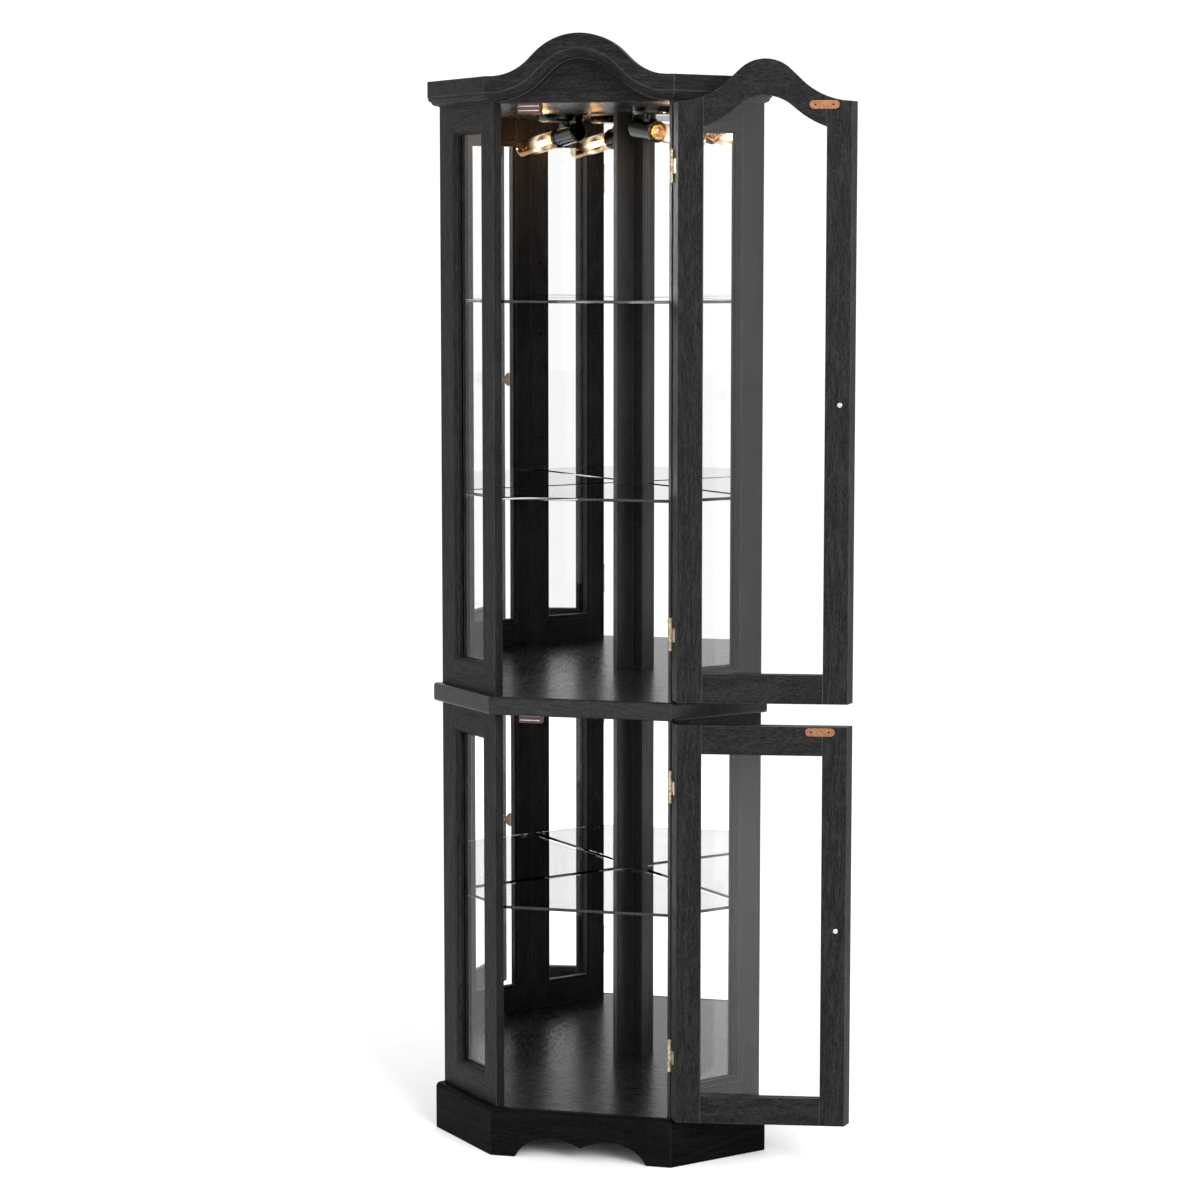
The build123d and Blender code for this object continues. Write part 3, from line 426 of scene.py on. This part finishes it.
BULB_POWER = 0.85
BULB_COLOUR = (1.0, 0.62, 0.32)
BULB_SOFTNESS = 0.004
bulb_light = bpy.data.lights.new("bulb_light", "POINT")
bulb_light.energy = BULB_POWER
bulb_light.color = BULB_COLOUR
bulb_light.shadow_soft_size = BULB_SOFTNESS
bulb_spot = bpy.data.objects.new("bulb_light", bulb_light)
bulb_spot.location = on_lamp(HOT_MIDDLE)
bpy.context.scene.collection.objects.link(bulb_spot)

lamp_glass = lit_glass()
filament_glow = glowing()
clear_rod = clear_glass_rod()
dark_brass = metal("dark_brass", (0.07, 0.044, 0.032), (0.025, 0.017, 0.013), 0.36)

# ---------------------------------------------------------------- finishes of the CAD nodes

UPRIGHT = [
    "upper_left_stiles", "upper_right_stiles", "lower_left_stiles", "lower_right_stiles",
    "upper_door_stiles", "lower_door_stiles",
]
HINGE_METAL = ["upper_door_hinge_leaves", "lower_door_hinge_leaves", "frame_hinge_leaves", "hinge_pins"]
ACROSS = ["fascia_front", "moulding_front", "door_header", "upper_door_rails", "lower_door_rails"]
SIDE = [
    "fascia_sides", "moulding_sides", "upper_left_rails", "upper_right_rails",
    "lower_left_rails", "lower_right_rails",
]
CORNERS = ["upper_left", "upper_right", "lower_left", "lower_right"]
finishes = {
    **dict.fromkeys(UPRIGHT, oak_up),
    **dict.fromkeys(["upper_corner_post", "lower_corner_post"], oak_post),
    **dict.fromkeys(ACROSS, oak_across),
    **dict.fromkeys(SIDE, oak_side),
    **dict.fromkeys(["floor_panel", "top_panel", "middle_panel"], oak_panel),
    **dict.fromkeys(["upper_side_beads", "lower_side_beads"], oak_up),
    **dict.fromkeys(["plinth_front", "plinth_blocks"], plinth_across),
    **dict.fromkeys(["plinth_left", "plinth_right"], plinth_side),
    "plinth_back_rails": oak_wall,
    "back_boards": backing,
    **dict.fromkeys([f"{corner}_mirror" for corner in CORNERS], mirror),
    **dict.fromkeys([f"{corner}_glass" for corner in CORNERS], clear_glass),
    **dict.fromkeys(["upper_door_glass", "lower_door_glass"], clear_glass),
    **dict.fromkeys(["top_shelf", "middle_shelf", "bottom_shelf"], shelf),
    "shelf_pins": pin_brass,
    "bulb_cap": bright_brass,
    **dict.fromkeys(HINGE_METAL, antique_brass),
    **dict.fromkeys(["upper_knob", "lower_knob"], knob_brass),
    **dict.fromkeys(["upper_knob_screw", "lower_knob_screw"], nickel),
    **dict.fromkeys(["upper_strike_plate", "lower_strike_plate"], copper),
    "magnetic_catches": brown_plastic,
    **dict.fromkeys(["lamp_canopy", "lamp_socket"], black_plastic),
    "bulb_glass": lamp_glass,
    "cable_grommet": rubber,
}
for name, node in nodes.items():
    finish = finishes[name]
    if not node.data.materials:
        node.data.materials.append(finish)
    for place in range(len(node.material_slots)):
        node.material_slots[place].material = finish

# ---------------------------------------------------------------- mesh tools

UP = Vector((0, 0, 1))
WIRE_SIDES = 10
ROUND_SIDES = 24


def circle_of(mesh, centre, radius, across, other, sides):
    """A ring of vertices round a centre."""
    angles = [2 * pi * side / sides for side in range(sides)]
    return [mesh.verts.new(centre + radius * (cos(a) * across + sin(a) * other)) for a in angles]


def piece(name, mesh, material, body):
    """Put a finished mesh in the scene as a piece of a body."""
    made = bpy.data.objects.new(name, mesh)
    bpy.context.scene.collection.objects.link(made)
    mesh.materials.append(material)
    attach(made, body)


def wire(path, radius, closed=False):
    """A round wire along a list of points, with both ends capped unless it is closed."""
    mesh = bmesh.new()
    count = len(path)
    rings = []
    across = None
    for place, point in enumerate(path):
        before = path[(place - 1) % count] if closed or place else point
        beyond = path[(place + 1) % count] if closed or place < count - 1 else point
        way = (beyond - before).normalized()
        if across is None:
            across = way.orthogonal().normalized()
        across = (across - across.dot(way) * way).normalized()
        other = way.cross(across)
        rings.append(circle_of(mesh, point, radius, across, other, WIRE_SIDES))
    pairs = list(zip(rings, rings[1:]))
    if closed:
        pairs.append((rings[-1], rings[0]))
    for near, far in pairs:
        for side in range(WIRE_SIDES):
            after = (side + 1) % WIRE_SIDES
            mesh.faces.new((near[side], near[after], far[after], far[side]))
    if not closed:
        mesh.faces.new(rings[0])
        mesh.faces.new(rings[-1])
    bmesh.ops.recalc_face_normals(mesh, faces=mesh.faces)
    return mesh


def join(parts):
    """One smooth-shaded mesh made of several bmeshes."""
    whole = bpy.data.meshes.new("joined")
    joined = bmesh.new()
    for part in parts:
        part.to_mesh(whole)
        joined.from_mesh(whole)
        part.free()
    for face in joined.faces:
        face.smooth = True
    joined.to_mesh(whole)
    joined.free()
    return whole


def turned(profile, origin, way):
    """A solid of revolution: profile holds (radius, height) pairs up the axis; a radius of 0 closes it
    there.
    """
    across = way.orthogonal().normalized()
    other = way.cross(across)
    mesh = bmesh.new()
    rings = []
    for radius, height in profile:
        centre = origin + height * way
        if radius == 0:
            rings.append([mesh.verts.new(centre)] * ROUND_SIDES)
            continue
        rings.append(circle_of(mesh, centre, radius, across, other, ROUND_SIDES))
    for near, far in zip(rings, rings[1:]):
        for side in range(ROUND_SIDES):
            after = (side + 1) % ROUND_SIDES
            corners = [near[side], near[after], far[after], far[side]]
            mesh.faces.new(list(dict.fromkeys(corners)))
    bmesh.ops.recalc_face_normals(mesh, faces=mesh.faces)
    return mesh


CROSS_ARM = 0.62  # of the head's radius
CROSS_SLOT = 0.16
CROSS_DEPTH = 0.5  # of the head's height
CROSS_TAPER = 0.8


def cross_head(origin, way, radius, height):
    """A low domed screw head with a cross recess, standing on origin and facing way."""
    across = UP.cross(way)
    mesh = bmesh.new()

    def spot(x, y, z):
        return mesh.verts.new(origin + radius * (x * across + y * UP) + z * height * way)

    def ring(size, level):
        return circle_of(mesh, origin + level * height * way, size * radius, across, UP, ROUND_SIDES)

    def band(near, far):
        for side in range(len(near)):
            after = (side + 1) % len(near)
            mesh.faces.new((near[side], near[after], far[after], far[side]))

    rings = [ring(1.0, 0.0), ring(0.97, 0.45), ring(0.86, 0.85), ring(0.72, 1.0)]
    for near, far in zip(rings, rings[1:]):
        band(near, far)
    mesh.faces.new(list(reversed(rings[0])))
    corners = []
    for quarter in range(4):
        turn = pi / 2 * quarter
        for x, y in ((CROSS_ARM, -CROSS_SLOT), (CROSS_ARM, CROSS_SLOT), (CROSS_SLOT, CROSS_SLOT)):
            corners.append((x * cos(turn) - y * sin(turn), x * sin(turn) + y * cos(turn)))
    high = [spot(x, y, 1.0) for x, y in corners]
    low = [spot(CROSS_TAPER * x, CROSS_TAPER * y, 1.0 - CROSS_DEPTH) for x, y in corners]
    band(low, high)
    mesh.faces.new(low)
    top = rings[-1]
    edges = [mesh.edges.get((top[i], top[(i + 1) % ROUND_SIDES])) for i in range(ROUND_SIDES)]
    edges += [mesh.edges.get((high[i], high[(i + 1) % len(high)])) for i in range(len(high))]
    bmesh.ops.triangle_fill(mesh, edges=edges, use_beauty=True)
    bmesh.ops.recalc_face_normals(mesh, faces=mesh.faces)
    return mesh


# ---------------------------------------------------------------- inside the bulb

LOOPS = 7
LOOP_STEPS = 6
FILAMENT_HALF = 0.016  # half its length
FILAMENT_NEAR = 0.0040  # its radius towards the cap
FILAMENT_FAR = 0.0052
FILAMENT_WIRE = 0.00028
rungs = []
for turn in range(LOOPS):
    angle = 2 * pi * turn / LOOPS
    near = on_lamp(HOT_MIDDLE - FILAMENT_HALF, FILAMENT_NEAR, angle)
    far = on_lamp(HOT_MIDDLE + FILAMENT_HALF, FILAMENT_FAR, angle + pi / LOOPS)
    rungs += [near, far]
rungs.append(rungs[0])
path = []
for start, end in zip(rungs, rungs[1:]):
    path += [start.lerp(end, step / LOOP_STEPS) for step in range(LOOP_STEPS)]
filament = wire(path, FILAMENT_WIRE, closed=True)
piece("bulb_filament", join([filament]), filament_glow, "cabinet")

mount_profile = [(0, 0.001), (0.0085, 0.001), (0.0080, 0.004), (0.0042, 0.010), (0.0024, 0.017),
                 (0.0022, 0.026), (0.0030, 0.030), (0.0022, 0.034), (0, 0.035)]
piece("bulb_mount", join([turned(mount_profile, on_lamp(0), LAMP_WAY)]), clear_rod, "cabinet")

ARMS = 5
ARM_RADIUS = 0.0002
ROD_RADIUS = 0.0004
LEAD_RADIUS = 0.00035
LEAD_TURN = 0.3
LOWER_TURN = 0.4  # of the angle between two arms
UPPER_TURN = 0.9
supports = []
for turn in range(ARMS):
    angle = 2 * pi * (turn + LOWER_TURN) / ARMS
    arm = [on_lamp(0.033), on_lamp(0.036, 0.0030, angle), on_lamp(0.040, 0.0042, angle)]
    supports.append(wire(arm, ARM_RADIUS))
supports.append(wire([on_lamp(0.032), on_lamp(0.054), on_lamp(0.076)], ROD_RADIUS))
for turn in range(ARMS):
    angle = 2 * pi * (turn + UPPER_TURN) / ARMS
    arm = [on_lamp(0.075), on_lamp(0.078, 0.0035, angle), on_lamp(0.0725, 0.0054, angle)]
    supports.append(wire(arm, ARM_RADIUS))
for side in (LEAD_TURN, LEAD_TURN + pi):
    lead = [on_lamp(0.003, 0.0040, side), on_lamp(0.022, 0.0030, side), on_lamp(0.040, 0.0041, side)]
    supports.append(wire(lead, LEAD_RADIUS))
piece("bulb_supports", join(supports), steel, "cabinet")

# ---------------------------------------------------------------- screws of the hinges

WALL_LENGTH = 0.379  # from the rear corner to a side's rear edge
SIDE_DEPTH = 0.1764  # a side, from its rear edge to the front
FRONT_CORNER = DIAGONAL * Vector((WALL_LENGTH - SIDE_DEPTH, -WALL_LENGTH - SIDE_DEPTH, 0))
HALF_TURN = radians(22.5)
HINGE_REACH = 0.00495  # from the front corner to the pin's axis
HINGE_PIN = FRONT_CORNER + HINGE_REACH * Vector((sin(HALF_TURN), -cos(HALF_TURN), 0))
LEAF_WAY = Vector((-sin(HALF_TURN), cos(HALF_TURN), 0))
TO_DOOR = Vector((-cos(HALF_TURN), -sin(HALF_TURN), 0))
OPEN_ANGLE = radians(188.2)  # of the doors as stored
DOOR_SWING = (Matrix.Translation(HINGE_PIN) @ Matrix.Rotation(OPEN_ANGLE, 4, "Z")
              @ Matrix.Translation(-HINGE_PIN))
SCREW_OUT = 0.0120  # from the pin's axis
SCREW_RISE = 0.009  # above and below the hinge's middle
LEAF_FACE = 0.0010  # from the plane between the leaves to a leaf's face
LEAF_SCREW = (0.00200, 0.00085)  # the head's radius and height
HINGES = {"upper": (0.861, 1.594), "lower": (0.181, 0.617)}  # levels of their middles

frame_screws = []
for level, middles in HINGES.items():
    door_screws = []
    for middle in middles:
        for rise in (-SCREW_RISE, SCREW_RISE):
            seat = HINGE_PIN + SCREW_OUT * LEAF_WAY + (middle + rise) * UP
            frame_screws.append(cross_head(seat - LEAF_FACE * TO_DOOR, TO_DOOR, *LEAF_SCREW))
            swung = DOOR_SWING @ (seat + LEAF_FACE * TO_DOOR)
            facing = DOOR_SWING.to_3x3() @ -TO_DOOR
            door_screws.append(cross_head(swung, facing, *LEAF_SCREW))
    piece(f"{level}_door_hinge_screws", join(door_screws), dark_brass, f"{level}_door")
piece("frame_hinge_screws", join(frame_screws), dark_brass, "cabinet")

# ---------------------------------------------------------------- screws of the strike plates

DOOR_THICKNESS = 0.020
DOOR_INSIDE = FRONT_CORNER.y + DOOR_THICKNESS
STRIKE_X = -0.0913
STRIKE_LEVELS = {"upper": 1.6865, "lower": 0.712}
STRIKE_SCREW_OUT = 0.014  # from the plate's middle
STRIKE_SCREW = (0.0015, 0.0007)  # the head's radius and height
FIT = 0.0001  # between the door's inner face and the heads
for level, height in STRIKE_LEVELS.items():
    heads = []
    for side in (-STRIKE_SCREW_OUT, STRIKE_SCREW_OUT):
        seat = DOOR_SWING @ Vector((STRIKE_X + side, DOOR_INSIDE + FIT, height))
        facing = DOOR_SWING.to_3x3() @ Vector((0, 1, 0))
        heads.append(cross_head(seat, facing, *STRIKE_SCREW))
    piece(f"{level}_strike_screws", join(heads), blackened, f"{level}_door")

# ---------------------------------------------------------------- poles of the magnetic catches


def lath(centre, half, bevel):
    """A thin plate with rounded edges."""
    mesh = bmesh.new()
    bmesh.ops.create_cube(mesh, size=2)
    bmesh.ops.scale(mesh, vec=half, verts=mesh.verts)
    bmesh.ops.bevel(mesh, geom=mesh.edges[:], offset=bevel, segments=2, affect="EDGES", profile=0.5)
    bmesh.ops.translate(mesh, vec=centre, verts=mesh.verts)
    return mesh


CATCH_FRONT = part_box("magnetic_catches")[0][1]
CATCH_TOPS = (1.695, 0.723)
CATCH_HEIGHT = 0.017
POLE_SUNK = 0.0008
POLE_RISE = 0.0035
POLE_HALF = Vector((0.0165, 0.0010, 0.0007))
POLE_BEVEL = 0.0003
poles = []
for top in CATCH_TOPS:
    for rise in (-POLE_RISE, POLE_RISE):
        centre = Vector((STRIKE_X, CATCH_FRONT + POLE_SUNK, top - CATCH_HEIGHT / 2 + rise))
        poles.append(lath(centre, POLE_HALF, POLE_BEVEL))
piece("catch_poles", join(poles), steel, "cabinet")

# ---------------------------------------------------------------- floor

floor_mesh = bpy.data.meshes.new("floor")
ground = bmesh.new()
bmesh.ops.create_grid(ground, x_segments=24, y_segments=24, size=30)
ground.to_mesh(floor_mesh)
ground.free()
floor = bpy.data.objects.new("floor", floor_mesh)
bpy.context.scene.collection.objects.link(floor)
pale = Shader("pale_floor", Roughness=0.9, Specular_IOR_Level=0.1)
speck = pale.noise(pale.object_place(), 30.0, 3.0)
pale.set("Base Color", pale.ramp(speck, (0.3, 0.955), (0.7, 0.975)))
floor_mesh.materials.append(pale.material)
